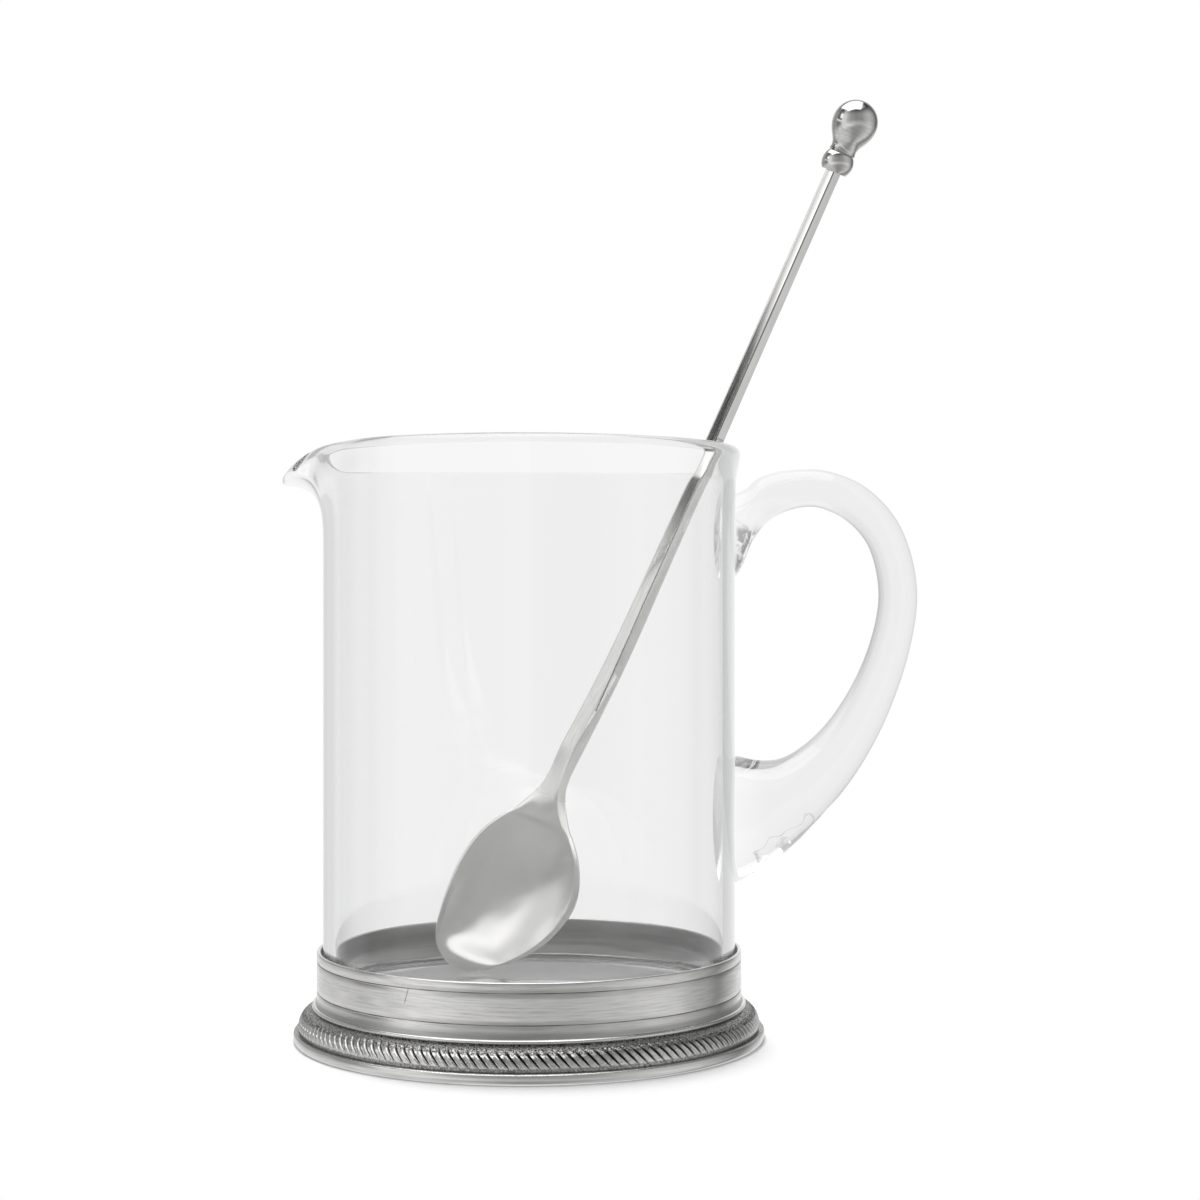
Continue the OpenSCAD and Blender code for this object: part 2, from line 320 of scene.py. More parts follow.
def blend_colours(tree, factor, low, high, operation="MIX"):
    n = tree.nodes.new("ShaderNodeMix")
    n.data_type = "RGBA"
    n.blend_type = operation
    for socket, value in zip((n.inputs[0], n.inputs[6], n.inputs[7]), (factor, low, high)):
        if isinstance(value, (int, float)):
            socket.default_value = value
        elif isinstance(value, tuple):
            socket.default_value = (*value, 1)
        else:
            tree.links.new(value, socket)
    return n.outputs[2]


# %% [markdown]
# A mask is 1 where something shows and 0 where it doesn't. run_between climbs or falls between
# two values, and near is 1 round a middle value. Noise gives clouds or, stretched, scratches.
# object_place turns the coordinates back for a piece that leans.

# %% Masks and noise
def run_between(tree, value, start, end, first=0.0, last=1.0, kind="SMOOTHSTEP"):
    n = node(
        tree, "MapRange", interpolation_type=kind,
        From_Min=start, From_Max=end, To_Min=first, To_Max=last,
    )
    tree.links.new(value, n.inputs["Value"])
    return n.outputs[0]


def near(tree, value, middle, half, soft):
    off = math_node(tree, "ABSOLUTE", math_node(tree, "SUBTRACT", value, middle))
    return run_between(tree, off, half + soft, half)


def object_place(tree, turned=(0, 0, 0), shift=(0, 0, 0)):
    to_piece = node(tree, "Mapping", vector_type="TEXTURE", Rotation=turned, Location=shift)
    tree.links.new(node(tree, "TexCoord").outputs["Object"], to_piece.inputs["Vector"])
    return to_piece.outputs[0]


def noise(tree, place, scale, detail, stretch=(1, 1, 1), roughness=0.5, distortion=0.0):
    stretched = node(tree, "Mapping", Scale=stretch)
    tree.links.new(place, stretched.inputs["Vector"])
    n = node(
        tree, "TexNoise", Scale=scale, Detail=detail, Roughness=roughness, Distortion=distortion
    )
    tree.links.new(stretched.outputs[0], n.inputs["Vector"])
    return n.outputs["Fac"]


# %% [markdown]
# ## Studio
# Glass and polished metal show little of their own. They show the room. The pitcher stands
# before a white background, and the room on the camera's side is half dark. Directions are
# worked out first: a turn round the pitcher and a height. The turn is 0 and 1 behind it, 0.25
# on its left, 0.5 at the camera and 0.75 on its right. The height is 0.5 at the horizon.

# %% Directions in the room
world = bpy.data.worlds.new("studio")
scene.world = world
world.use_nodes = True
tree = world.node_tree
tree.nodes.clear()
east, north, up = axes_of(tree, node(tree, "TexCoord").outputs["Generated"])
turn = math_node(tree, "ARCTAN2", east, math_node(tree, "MULTIPLY", north, -1.0))
turn = math_node(tree, "ADD", math_node(tree, "MULTIPLY", turn, 0.5 / math.pi), 0.5)
rise = math_node(tree, "DIVIDE", math_node(tree, "ARCSINE", up), math.pi)
rise = math_node(tree, "ADD", rise, 0.5)


def azimuth(degrees):
    return degrees / 360 + 0.5


def elevation(degrees):
    return degrees / 180 + 0.5


def around(stops):
    return ramp(tree, turn, [(azimuth(a), level) for a, level in stops], "EASE")


def upwards(stops):
    return ramp(tree, rise, [(elevation(a), level) for a, level in stops])


print("directions ready")

# %% [markdown]
# What the pewter mirrors changes from side to side. Below the horizon it sees the table, above
# it the room. Each list gives the brightness for a few directions in degrees: 0 is the camera,
# -90 the left, 90 the right. A dark strip at about 120 darkens the right edges. Steeply down,
# close to the foot, a darker list takes over, and a dim ring lies under the overhead window.

# %% Brightness from side to side
table = around([
    (-180, 1.0), (-171, 1.0), (-150, 0.84), (-122, 0.80), (-98, 0.72), (-88, 0.94), (-78, 0.76),
    (-62, 0.98), (-47, 1.02), (-32, 0.88), (-15, 0.76), (2, 0.62), (18, 0.59), (35, 0.65),
    (52, 0.76), (68, 0.84), (84, 0.78), (98, 0.56), (110, 0.46), (121, 0.26), (131, 0.50),
    (140, 0.72), (156, 0.92), (170, 1.0),
])
room = around([
    (-180, 1.0), (-165, 0.85), (-150, 0.50), (-128, 0.38), (-112, 0.42), (-101, 0.22),
    (-86, 0.28), (-79, 0.42), (-74, 0.95), (-56, 0.90), (-44, 0.58), (-25, 0.40), (0, 0.33),
    (25, 0.38), (48, 0.54), (65, 0.64), (85, 0.55), (105, 0.36), (122, 0.14), (138, 0.35),
    (155, 0.80), (168, 1.0),
])
low_table = around([
    (-180, 1.0), (-150, 0.85), (-122, 0.70), (-98, 0.72), (-84, 0.78), (-62, 0.72), (-40, 0.58),
    (-20, 0.40), (0, 0.36), (20, 0.38), (45, 0.50), (65, 0.64), (80, 0.74), (98, 0.74),
    (110, 0.46), (122, 0.28), (138, 0.55), (156, 0.90), (170, 1.0),
])
near_by = upwards([(-90, 1.0), (-26, 1.0), (-16, 0.0)])
table = blend_colours(tree, near_by, table, low_table)
below_horizon = upwards([(-90, 1.0), (-12, 1.0), (2, 0.0)])
seen_round = blend_colours(tree, below_horizon, room, table)
dim_ring = upwards([(30, 1.0), (44, 0.60), (53, 0.20), (56, 0.20), (62, 0.9)])
seen_round = blend_colours(tree, 1.0, seen_round, dim_ring, "MULTIPLY")
print("room and table ready")

# %% [markdown]
# Two soft boxes are seen as bright windows. One hangs overhead: it is a rectangle, so it is
# found from how far a direction runs sideways and forwards for each step up. The other stands
# on the left, leans a little and gives the stem of the spoon its white face. Under it come a
# dark gap and a strip of light.

# %% Windows of light
LEFT_LEAN = 0.55
GAP_LEVEL = grey(0.04)
STRIP_LEVEL = grey(1.05)
OVERHEAD_LEVEL = grey(2.2)


def band_of(value, low, high, soft):
    start = run_between(tree, value, low - soft, low + soft)
    stop = run_between(tree, value, high - soft, high + soft)
    return math_node(tree, "SUBTRACT", start, stop, True)


lifted = math_node(tree, "MAXIMUM", up, 0.02)
sideways = math_node(tree, "DIVIDE", east, lifted)
forwards = math_node(tree, "DIVIDE", north, lifted)
overhead = product(
    tree, band_of(sideways, -0.75, 0.42, 0.03), band_of(forwards, -0.60, 0.65, 0.03)
)
left_side = band_of(turn, azimuth(-110), azimuth(-76), 0.014)
leaning = math_node(tree, "SUBTRACT", turn, azimuth(-88))
leaning = math_node(tree, "ADD", rise, product(tree, leaning, LEFT_LEAN))


def on_left(low, high, soft):
    return product(tree, left_side, band_of(leaning, elevation(low), elevation(high), soft))


left_strip = on_left(10.5, 15.2, 0.008)
left_gap = on_left(15.8, 20.4, 0.005)
left_box = on_left(20.7, 36, 0.006)
left_white = around([
    (-108, 0.15), (-97, 0.22), (-92, 0.42), (-87, 1.20), (-84, 1.70), (-76, 1.70),
])


def with_windows(base, gap_depth):
    lit = blend_colours(tree, product(tree, left_gap, gap_depth), base, GAP_LEVEL)
    lit = blend_colours(tree, left_strip, lit, STRIP_LEVEL)
    lit = blend_colours(tree, left_box, lit, left_white)
    return blend_colours(tree, overhead, lit, OVERHEAD_LEVEL)


lit_room = with_windows(seen_round, 0.9)
print("windows ready")

# %% [markdown]
# Glass has two lists of its own. What shows through it is pale: milder dark strips at the sides
# draw its soft grey outlines, and a bright window in front is what the hollow of the spoon
# mirrors. What the glass itself mirrors, on its outside and its inside, is a calmer room with
# the overhead window alone.

# %% What glass shows and mirrors
FRONT_LEVEL = grey(1.65)
CALM_OVERHEAD_LEVEL = grey(1.8)
HIGH_LEVEL = grey(0.95)
through = around([
    (-180, 1.0), (-165, 0.97), (-140, 0.92), (-125, 0.78), (-113, 0.60), (-100, 0.58),
    (-90, 0.70), (-80, 0.84), (-60, 0.84), (-36, 0.90), (-10, 0.94), (70, 0.94), (82, 0.78),
    (92, 0.56), (106, 0.46), (119, 0.48), (128, 0.60), (138, 0.76), (150, 0.90), (165, 0.98),
])
below = around([
    (-180, 1.0), (-120, 0.85), (-60, 0.75), (-20, 0.85), (40, 0.80), (90, 0.74), (120, 0.7),
    (150, 1.0),
])
through = blend_colours(tree, upwards([(-90, 1.0), (-23, 1.0), (-17, 0.0)]), through, below)
through = blend_colours(tree, upwards([(34, 0.0), (42, 1.0)]), through, HIGH_LEVEL)
high_ring = upwards([(35, 1.0), (46, 0.85), (51, 0.35), (53, 0.35), (57, 0.95)])
through = blend_colours(tree, 1.0, through, high_ring, "MULTIPLY")
front_window = product(
    tree, band_of(turn, azimuth(-30), azimuth(80), 0.05),
    band_of(rise, elevation(-16), elevation(34), 0.05),
)
through = blend_colours(tree, front_window, through, FRONT_LEVEL)
behind_glass = with_windows(through, 0.75)
in_glass = around([
    (-180, 1.0), (-150, 0.92), (-138, 0.78), (-126, 0.50), (-116, 0.72), (-107, 0.85),
    (-102, 0.70), (-97, 0.45), (-80, 0.40), (-75, 0.70), (-60, 0.60), (-40, 0.45), (-20, 0.45),
    (0, 0.60), (25, 0.60), (48, 0.70), (70, 0.80), (90, 0.66), (105, 0.62), (115, 0.66),
    (126, 0.74), (138, 0.85), (150, 0.95), (165, 1.0),
])
in_glass = blend_colours(tree, overhead, in_glass, CALM_OVERHEAD_LEVEL)

# %% [markdown]
# Light Path tells the rays apart. The camera sees plain white, a ray that comes out of glass
# sees the list for glass, and a matt surface gets an even pale light. Of the mirrors, the
# perfectly smooth glass sees its own calm list, and pewter sees the room.

# %% World
MATT_LEVEL = 0.55
rays = node(tree, "LightPath")


def light(colour, strength=1.0):
    n = node(tree, "Background", Strength=strength)
    if isinstance(colour, tuple):
        n.inputs["Color"].default_value = (*colour, 1)
    else:
        tree.links.new(colour, n.inputs["Color"])
    return n.outputs[0]


def choose(ray, other, light_seen):
    return mix_shaders(tree, rays.outputs[ray], other, light_seen)


mirrored = choose("Is Singular Ray", light(lit_room), light(in_glass))
sky = choose("Is Glossy Ray", light(grey(1), MATT_LEVEL), mirrored)
sky = choose("Is Transmission Ray", sky, light(behind_glass))
sky = choose("Is Camera Ray", sky, light(grey(1)))
tree.links.new(sky, node(tree, "OutputWorld").inputs[0])
print("studio ready:", len(tree.nodes), "nodes")

# %% [markdown]
# The lamps are two tall soft boxes and a large one high up behind the pitcher. They only give
# the faint shadow round the foot. Mirrors and glass don't see them, because the windows of the
# room stand in.

# %% Lamps
LAMP_AIM = Vector((0, 0, 0.07))
LAMPS = [
    ("left_softbox", (-0.75, -0.35, 0.65), (0.5, 0.9), 0.8),
    ("right_softbox", (0.85, -0.35, 0.60), (0.5, 0.9), 0.8),
    ("overhead", (-0.12, 0.50, 1.00), (0.7, 0.7), 14.5),
]
for name, place, size, power in LAMPS:
    start_clean()
    bpy.ops.object.light_add(type="AREA", location=place)
    lamp = bpy.context.object
    lamp.name = name
    lamp.data.shape = "RECTANGLE"
    lamp.data.size, lamp.data.size_y = size
    lamp.data.energy = power
    lamp.rotation_euler = (LAMP_AIM - Vector(place)).to_track_quat("-Z", "Y").to_euler()
    lamp.visible_camera = lamp.visible_glossy = lamp.visible_transmission = False
print(len(LAMPS), "lamps")

# %% [markdown]
# The floor is a white disc. Near the foot it is a lit surface, so it takes the shadow. Further
# out it is plain white, like the background, so no edge shows.

# %% Floor
FLOOR_R = 0.55
FADE_UNIT = 0.2
start_clean()
bpy.ops.mesh.primitive_circle_add(vertices=96, radius=FLOOR_R, fill_type="TRIFAN")
floor = bpy.context.object
floor.name = "floor"
floor.visible_glossy = floor.visible_transmission = False
paper, tree = new_material("white_paper")
length = node(tree, "VectorMath", operation="LENGTH")
tree.links.new(node(tree, "TexCoord").outputs["Object"], length.inputs[0])
far_out = math_node(tree, "DIVIDE", length.outputs["Value"], FADE_UNIT)
plain = ramp(tree, far_out, [(0.295, 0.0), (0.32, 0.25), (0.36, 0.75), (0.42, 1.0)])
lit = node(tree, "BsdfDiffuse", Color=(0.88, 0.88, 0.88, 1))
white = node(tree, "Emission")
camera_only = node(tree, "LightPath").outputs["Is Camera Ray"]
plain = product(tree, plain, camera_only)
show(tree, mix_shaders(tree, plain, lit.outputs[0], white.outputs[0]))
floor.data.materials.append(paper)
print("floor of", FLOOR_R, "m radius")

# %% [markdown]
# ## Clear glass
# Vessel and handle share one clear glass, because on the real pitcher they are one body. The
# hand work shows at the roots of the handle: under the upper one the tool has left marks, which
# are painted with dark speckles as shade, and the tail at the lower one is pinched. Each place
# is a mask. The tail lies aslant, so its mask is measured along it and across it, and a noise
# makes the outline uneven.

# %% Places of the hand work
TAIL_COS, TAIL_SIN = 0.815, 0.579
UNEVEN = 0.006
glass_finish, tree = new_material("clear_glass")
place = node(tree, "TexCoord").outputs["Object"]
x, _, z = axes_of(tree, place)
under_root = product(
    tree, near(tree, x, 0.0550, 0.0026, 0.0012), near(tree, z, 0.1225, 0.0050, 0.0020)
)
uneven = math_node(tree, "SUBTRACT", noise(tree, place, 170.0, 1.0), 0.5)
uneven = product(tree, uneven, UNEVEN)
along = math_node(tree, "ADD", product(tree, x, TAIL_COS), product(tree, z, TAIL_SIN))
across = math_node(tree, "SUBTRACT", product(tree, z, TAIL_COS), product(tree, x, TAIL_SIN))
along, across = (math_node(tree, "ADD", value, uneven) for value in (along, across))
pinched = product(
    tree, near(tree, along, 0.0815, 0.0080, 0.0015), near(tree, across, 0.0030, 0.0022, 0.0006)
)

# %% [markdown]
# Blown glass is never quite even, which a slow, long wave shows. The tool marks are a second,
# finer relief, strong under the upper root and faint on the tail.

# %% Relief of the glass
waves = node(tree, "Bump", Strength=0.05, Distance=0.0008)
tree.links.new(noise(tree, place, 38.0, 1.0, (1, 1, 0.25)), waves.inputs["Height"])
tool_marks = noise(tree, place, 380.0, 2.0, distortion=1.0)
worked = largest(tree, under_root, product(tree, pinched, 0.3))
marks = node(tree, "Bump", Strength=0.8, Distance=0.00022)
tree.links.new(product(tree, worked, tool_marks), marks.inputs["Height"])
tree.links.new(waves.outputs[0], marks.inputs["Normal"])

# %% [markdown]
# The colour is nearly white, and a little greyer in the handle, where the glass is thicker. The
# dark speckles under the upper root and the dark edge of the pinched patch are painted shade,
# in place of the dark refraction of the tool marks and of the step. The loop of the handle gets
# faint grey outlines where its surface turns away, which Layer Weight finds; these outlines are
# painted shade too.

# %% Colour of the glass
thicker = run_between(tree, x, 0.052, 0.060, 0.970, 0.900, "LINEAR")
# Painted shade: dark speckles under the upper root stand in for the dark refraction of the tool
# marks.
scale = ramp(tree, tool_marks, [(0.42, 0.0), (0.56, 0.9)])
tint = blend_colours(tree, product(tree, under_root, scale), thicker, grey(0.12))
# Painted shade: a dark edge round the pinched patch, where the step bends the light.
patch_edge_shade = product(tree, pinched, math_node(tree, "SUBTRACT", 1.0, pinched), 2.2)
tint = blend_colours(tree, patch_edge_shade, tint, grey(0.35))
turned_away = node(tree, "LayerWeight", Blend=0.5).outputs["Facing"]
# Painted shade: the handle's loop is darkened where its surface turns away.
loop_edge_shade = ramp(tree, turned_away, [(0.58, 0.0), (0.82, 0.6)])
on_loop = ramp(tree, product(tree, x, 10.0), [(0.66, 0.0), (0.78, 1.0)])
tint = blend_colours(tree, product(tree, loop_edge_shade, on_loop), tint, grey(0.15))

# %% [markdown]
# Lamps pass through the glass, so that the things inside are lit. A ray that was mirrored
# inside the glass is let straight out at the next surface. Without that it would be mirrored on
# and on until it is given up, and show as a black lump.

# %% Light in the glass
shader = node(tree, "BsdfPrincipled", Roughness=0.0, IOR=1.5, Transmission_Weight=1.0)
tree.links.new(tint, shader.inputs["Base Color"])
tree.links.new(marks.outputs[0], shader.inputs["Normal"])
glass = shader.outputs[0]
clear = node(tree, "BsdfTransparent", Color=(0.93, 0.935, 0.935, 1)).outputs[0]
kinds = node(tree, "LightPath").outputs
let_out = mix_shaders(tree, kinds["Is Singular Ray"], glass, clear)
mirrored = mix_shaders(tree, kinds["Is Reflection Ray"], glass, let_out)
show(tree, mix_shaders(tree, kinds["Is Shadow Ray"], mirrored, clear))
print("glass ready:", len(tree.nodes), "nodes")

# %% [markdown]
# ## Vessel
# The vessel is blown, its floor left thick, its rim melted to a round bead, and the spout pulled
# out while the rim is soft. Each section runs from the middle of the underside up the outer
# wall, over the bead and down to the middle of the floor. Round the spout the sections lean out
# by a bell curve. Pulling drops the rim there, thins its bead and nips it in on both sides.

# %% Rim and spout
RIM_MID_R = GLASS_R - GLASS_WALL + 1.1 * BEAD_R
RIM_MID_Z = PITCHER_H - BEAD_R
THROAT_Z = RIM_MID_Z - THROAT_H
WALL_MID_R = GLASS_R - GLASS_WALL / 2
SPOUT_AT = 180
SPOUT_SPREAD = 12.0
EXTRA_DROP = 0.6
SPOUT_BEAD_R = 1.35
THIN_SPREAD = 20.0
NIP_AT = 27
NIP = 0.8


def bell(angle, spread=SPOUT_SPREAD):
    return math.exp(-((angle / spread) ** 2))


def bead_half(a):
    return mix(BEAD_R, SPOUT_BEAD_R, bell(a - SPOUT_AT, THIN_SPREAD))


def bead_r_at(a):
    nip = bell(a - SPOUT_AT - NIP_AT) + bell(a - SPOUT_AT + NIP_AT)
    reach = GLASS_R + SPOUT_REACH - bead_half(SPOUT_AT) - RIM_MID_R
    return RIM_MID_R + bell(a - SPOUT_AT) * reach - NIP * nip


def bead_z_at(a):
    return RIM_MID_Z - (SPOUT_DROP + EXTRA_DROP) * bell(a - SPOUT_AT) ** 1.7


def throat(a):
    knee = [
        mix(WALL_MID_R, bead_r_at(a), 0.1),
        mix(RIM_MID_Z - 0.25 * THROAT_H, bead_z_at(a), bell(a - SPOUT_AT)),
    ]
    low = [WALL_MID_R, THROAT_Z]
    return [low, [WALL_MID_R, THROAT_Z + 0.43 * THROAT_H], knee, [bead_r_at(a), bead_z_at(a)]]


print("bead of", 2 * BEAD_R, "mm, at the spout", 2 * bead_half(SPOUT_AT), "mm")

# %% [markdown]
# A whole section follows: underside, rounded heel, wall, throat, bead, and the same way back
# inside to the floor.

# %% Sections of the vessel
HEEL_R = 3.0
INNER_CORNER_R = 6.0


def vessel_section(a):
    curve = throat(a)
    out = [(0.0, GLASS_Z)]
    out += [(r, GLASS_Z) for r in (12, 24, 36, 44)]
    for k in range(7):
        h = math.radians(15 * k)
        out.append((
            GLASS_R - HEEL_R + HEEL_R * math.sin(h),
            GLASS_Z + HEEL_R - HEEL_R * math.cos(h),
        ))
    out += [(GLASS_R, mix(GLASS_Z + HEEL_R, THROAT_Z, k / 14)) for k in range(1, 14)]

    def wall(t, side):
        along = bezier_slope(curve, t)
        middle = bezier(curve, t)
        half = mix(GLASS_WALL / 2, bead_half(a), ease((t - 0.6) / 0.4))
        return (middle[0] + side * half * along[1], middle[1] - side * half * along[0])

    steps = [k / 18 for k in range(19)]
    out += [wall(t, 1) for t in steps]
    along = bezier_slope(curve, 1)
    for k in range(1, 12):
        h = math.radians(15 * k)
        out.append((
            bead_r_at(a) + bead_half(a) * (math.cos(h) * along[1] + math.sin(h) * along[0]),
            bead_z_at(a) + bead_half(a) * (-math.cos(h) * along[0] + math.sin(h) * along[1]),
        ))
    out += [wall(t, -1) for t in reversed(steps)]
    inner = GLASS_R - GLASS_WALL
    out += [(inner, mix(FLOOR_Z + INNER_CORNER_R, THROAT_Z, k / 14)) for k in range(13, 0, -1)]
    for k in range(8, -1, -1):
        h = math.radians(90 * k / 8)
        out.append((
            inner - INNER_CORNER_R + INNER_CORNER_R * math.sin(h),
            FLOOR_Z + INNER_CORNER_R - INNER_CORNER_R * math.cos(h),
        ))
    out += [(r, FLOOR_Z) for r in (34, 22, 11)]
    out.append((0.0, FLOOR_Z))
    return out


# %% [markdown]
# The sections stand closer together at the spout, where the shape changes fast.

# %% Shape the vessel
AROUND = 192
CROWDING = 28
turned = []
for i in range(AROUND):
    u = 360 * i / AROUND
    a = u + CROWDING * math.sin(math.radians(u))
    turned.append((math.radians(a), vessel_section(a)))
rings = [
    [(s[j][0] * math.cos(a), s[j][0] * math.sin(a), s[j][1]) for a, s in turned]
    for j in range(len(turned[0][1]))
]
vessel = wrap_grid("glass_body", rings)
print("vessel of", len(rings), "rings")

# %% [markdown]
# ## Handle
# The handle is a gather of hot glass, pressed on the wall at the top, drawn out, looped down and
# pressed on again with its tail pinched. Its sections swell at both roots. The pincers leave a
# shallow step and small ridges on the underside of the lower root. Each row is one station from
# the top down: how far out it lies, how high, half its thickness, half its width and its slope.

# %% Sections of the handle
PINCH_FROM, PINCH_TO = 10.3, 12.8
PINCH_DEPTH = 0.35
HANDLE = [
    [-0.050, 0.822, 1.20, 0.80, 1.00],
    [0.042, 0.853, 1.05, 0.70, 0.97],
    [0.135, 0.909, 0.82, 0.58, 0.91],
    [0.274, 0.944, 0.62, 0.52, 0.81],
    [0.470, 0.952, 0.51, 0.50, 0.73],
    [0.669, 0.915, 0.50, 0.49, 0.56],
    [0.825, 0.833, 0.49, 0.49, 0.34],
    [0.893, 0.706, 0.50, 0.50, 0.03],
    [0.850, 0.573, 0.52, 0.51, -0.15],
    [0.733, 0.437, 0.59, 0.54, -0.26],
    [0.575, 0.321, 0.71, 0.60, -0.50],
    [0.378, 0.229, 0.93, 0.68, -0.73],
    [0.186, 0.174, 1.31, 0.77, -0.91],
    [-0.050, 0.151, 1.74, 0.84, -1.00],
]


def handle_ring(s, sides=64):
    row = spline(HANDLE, s)
    slope = math.radians(90 * row[4])
    x = GLASS_R + row[0] * HANDLE_REACH
    z = HANDLE_LOW + row[1] * HANDLE_H
    ring = []
    for i in range(sides):
        a = 2 * math.pi * i / sides
        edge = mix(1.0, 0.25, ease((s - PINCH_FROM) / 1.3))
        pinch = ease((math.cos(a) - edge) / 0.30) * ease((PINCH_TO - s) / 0.8)
        ridges = 0.8 + 0.12 * math.cos(13.0 * s + 2.5 * math.sin(2 * a))
        ridges += 0.08 * math.cos(29.0 * s + 5 * a)
        half_t = row[2] * HANDLE_THICK - PINCH_DEPTH * pinch * ridges
        half_w = row[3] * HANDLE_W
        ring.append((
            x + half_t * math.cos(a) * math.cos(slope),
            half_w * math.sin(a),
            z + half_t * math.cos(a) * math.sin(slope),
        ))
    return ring


def centre_ring(ring):
    middle = tuple(sum(p[k] for p in ring) / len(ring) for k in range(3))
    return [middle] * len(ring)


HANDLE_CUTS = 168
stations = [
    handle_ring((len(HANDLE) - 1) * k / HANDLE_CUTS) for k in range(HANDLE_CUTS + 1)
]
stations = [centre_ring(stations[0])] + stations + [centre_ring(stations[-1])]
handle = wrap_grid("handle_gather", stations)
print("handle of", len(stations), "sections")

# %% [markdown]
# Hot glass melts into the wall, so there is no surface left between handle and vessel. A
# boolean union does that here. Two separate bodies would bend the light once too often.

# %% Fuse the handle to the vessel
pick(vessel)
fuse = vessel.modifiers.new("fuse", "BOOLEAN")
fuse.operation = "UNION"
fuse.solver = "EXACT"
fuse.object = handle
bpy.ops.object.modifier_apply(modifier=fuse.name)
pick(handle)
bpy.ops.object.delete()
finish_piece(vessel, "pitcher", ("glass_vessel", "glass_handle"), glass_finish, 35)

# %% [markdown]
# ## Pewter
# Pewter is grey and soft. The band is rubbed round with fine abrasive, so its scratches run
# round it. The foot is cast, its hollows keep a dark grainy skin and its high parts shine. Fine
# noise that is stretched a long way in one direction makes the scratches. They change the
# colour, the roughness and the relief a little. A mask from 0 to 1 darkens the hollows, with the
# dark casting skin of the foot and with painted shade in lines and at ridges. Another one makes
# the skin satin, and pale as painted light.

# %% Pewter material
# The dark colour serves both the foot's casting skin and painted shade; the satin colour is
# painted light.
DARK_SKIN_AND_SHADE = (0.035, 0.034, 0.032)
SATIN_PAINTED_LIGHT = (0.95, 0.945, 0.935)


def pewter(
    tree, place, colour, rough, stretch, scale, relief, dark=None, depth=1.0, satin_and_light=None
):
    fine = noise(tree, place, scale, 4.0, stretch, 0.62)
    cloud = noise(tree, place, 70.0, 2.0)
    streaks = ramp(tree, fine, [(0.30, 1 - 0.16 * depth), (0.50, 1.0), (0.72, 1 + 0.09 * depth)])
    clouds = ramp(tree, cloud, [(0.30, 0.94), (0.70, 1.03)])
    skin = blend_colours(tree, 1.0, streaks, clouds, "MULTIPLY")
    skin = blend_colours(tree, 1.0, skin, colour, "MULTIPLY")
    polish = ramp(tree, fine, [(0.25, rough + 0.07), (0.75, max(0.03, rough - 0.05))])
    shader = node(tree, "BsdfPrincipled", Metallic=1.0)
    if satin_and_light is not None:
        polish = blend_colours(tree, satin_and_light, polish, grey(0.28))
        # Painted light: under the satin mask the skin turns paler and less metallic.
        skin = blend_colours(tree, product(tree, satin_and_light, 0.75), skin, SATIN_PAINTED_LIGHT)
        metal = ramp(tree, satin_and_light, [(0.0, 1.0), (1.0, 0.72)])
        tree.links.new(metal, shader.inputs["Metallic"])
    if dark is not None:
        # Dark marks: the real casting skin, and painted shade in lines and along the ridge.
        skin = blend_colours(tree, dark, skin, DARK_SKIN_AND_SHADE)
        polish = blend_colours(tree, dark, polish, grey(0.62))
    tree.links.new(skin, shader.inputs["Base Color"])
    tree.links.new(polish, shader.inputs["Roughness"])
    bump = node(tree, "Bump", Strength=relief, Distance=0.00004)
    tree.links.new(fine, bump.inputs["Height"])
    tree.links.new(bump.outputs[0], shader.inputs["Normal"])
    return shader.outputs[0]


# %% [markdown]
# The band has two thin dark lines, which are painted shade in its incised lines, a short
# hairline where its ends are soldered, painted shade in the hollow at its foot and a dull inner
# face. Each is a mask that is worked out from where a point lies.

# %% Finish of the band
ROUND = (0.05, 0.05, 1)
INNER_FACE_R = (BAND_IN_R + 0.2) * MM
SEAM_TURN = -0.675
SEAM_SLANT = 6.0
SEAM_Z = 0.0183
band_finish, tree = new_material("brushed_pewter")
place = object_place(tree)
x, y, z = axes_of(tree, place)
# Painted shade: the two incised lines are darkened, broken up in places by a patchy noise.
patchy = ramp(tree, noise(tree, place, 90.0, 2.0), [(0.35, 0.45), (0.6, 1.0)])
line_shade = largest(
    tree, *(near(tree, z, line * MM, 0.00004, 0.00014) for line in (LINE_HIGH, LINE_LOW))
)
line_shade = product(tree, line_shade, patchy, 0.8)
flat_place = node(tree, "CombineXYZ")
tree.links.new(x, flat_place.inputs[0])
tree.links.new(y, flat_place.inputs[1])
radius = node(tree, "VectorMath", operation="LENGTH")
tree.links.new(flat_place.outputs[0], radius.inputs[0])
inside = math_node(tree, "LESS_THAN", radius.outputs["Value"], INNER_FACE_R)
facing = math_node(tree, "ARCTAN2", x, math_node(tree, "MULTIPLY", y, -1.0))
slanted = math_node(tree, "SUBTRACT", facing, product(tree, z, SEAM_SLANT))
seam = product(
    tree, near(tree, slanted, SEAM_TURN, 0.0008, 0.0016), near(tree, z, SEAM_Z, 0.0012, 0.0012),
    0.75,
)
# Painted shade: the band is darkened just above the foot, where it flares.
hollow = product(tree, near(tree, z, 0.0100, 0.0002, 0.0011), 0.35)
dark = largest(tree, line_shade, seam, hollow)
rubbed = pewter(tree, place, (0.74, 0.735, 0.725), 0.20, ROUND, 2400.0, 0.30, dark)
dull = pewter(tree, place, (0.54, 0.535, 0.53), 0.42, ROUND, 700.0, 0.1, depth=0.6)
show(tree, mix_shaders(tree, inside, rubbed, dull))
print("band finish:", len(tree.nodes), "nodes")

# %% [markdown]
# The casting skin of the foot is dark and stippled in the hollow over the rope and in the strip
# under it. The grooves of the rope carry their own mask in the attribute patina. The disc under
# the glass is dull all over.

